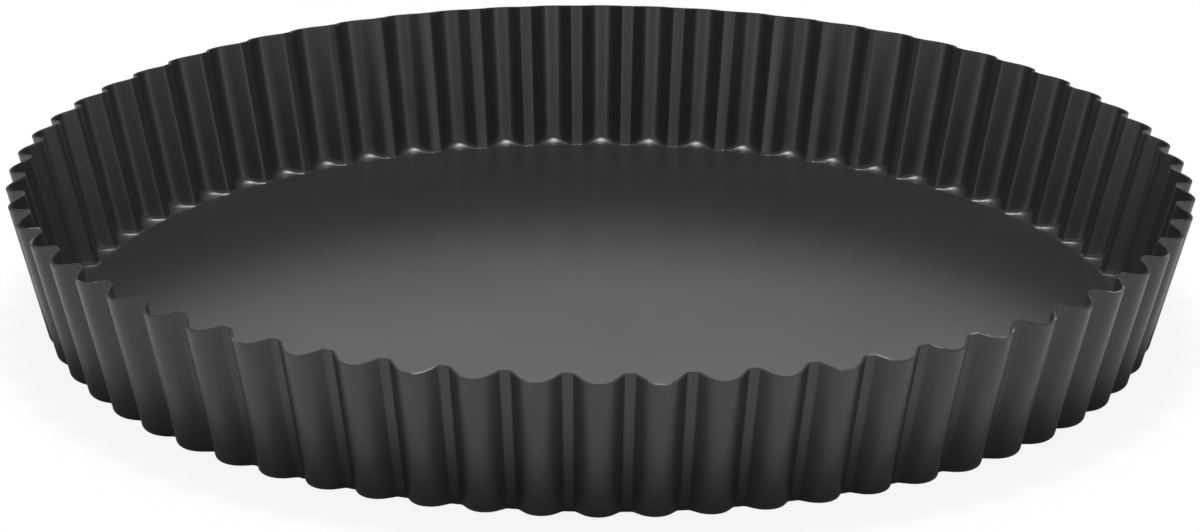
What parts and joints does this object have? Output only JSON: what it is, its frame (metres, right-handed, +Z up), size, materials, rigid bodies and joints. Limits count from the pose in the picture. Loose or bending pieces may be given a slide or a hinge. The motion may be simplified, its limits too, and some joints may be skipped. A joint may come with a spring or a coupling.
{
  "type": "fluted tart tin",
  "caption": "Round, shallow baking tin of dark coated steel: a flared ring with a fluted wall and a foot ledge, holding a flat loose base that lifts out.",
  "frame": {"origin": "centre of the foot, on the plane that the tin stands on", "axes": "+Z up through the middle of the tin, out of its open top; +X and +Y through the crests of outward flutes"},
  "size_m": [0.28, 0.28, 0.036],
  "materials": {
    "ring_coat": "satin charcoal non-stick coat, baked on sheet steel",
    "base_coat": "satin charcoal non-stick coat, baked on sheet steel"
  },
  "bodies": {
    "ring": {"fluted_ring": "ring_coat"},
    "base": {"loose_base": "base_coat"}
  },
  "joints": [
    {"name": "base_lift", "type": "slide", "parent": "ring", "child": "base", "axis": [0, 0, 1], "range_m": [0, 0.06]}
  ]
}
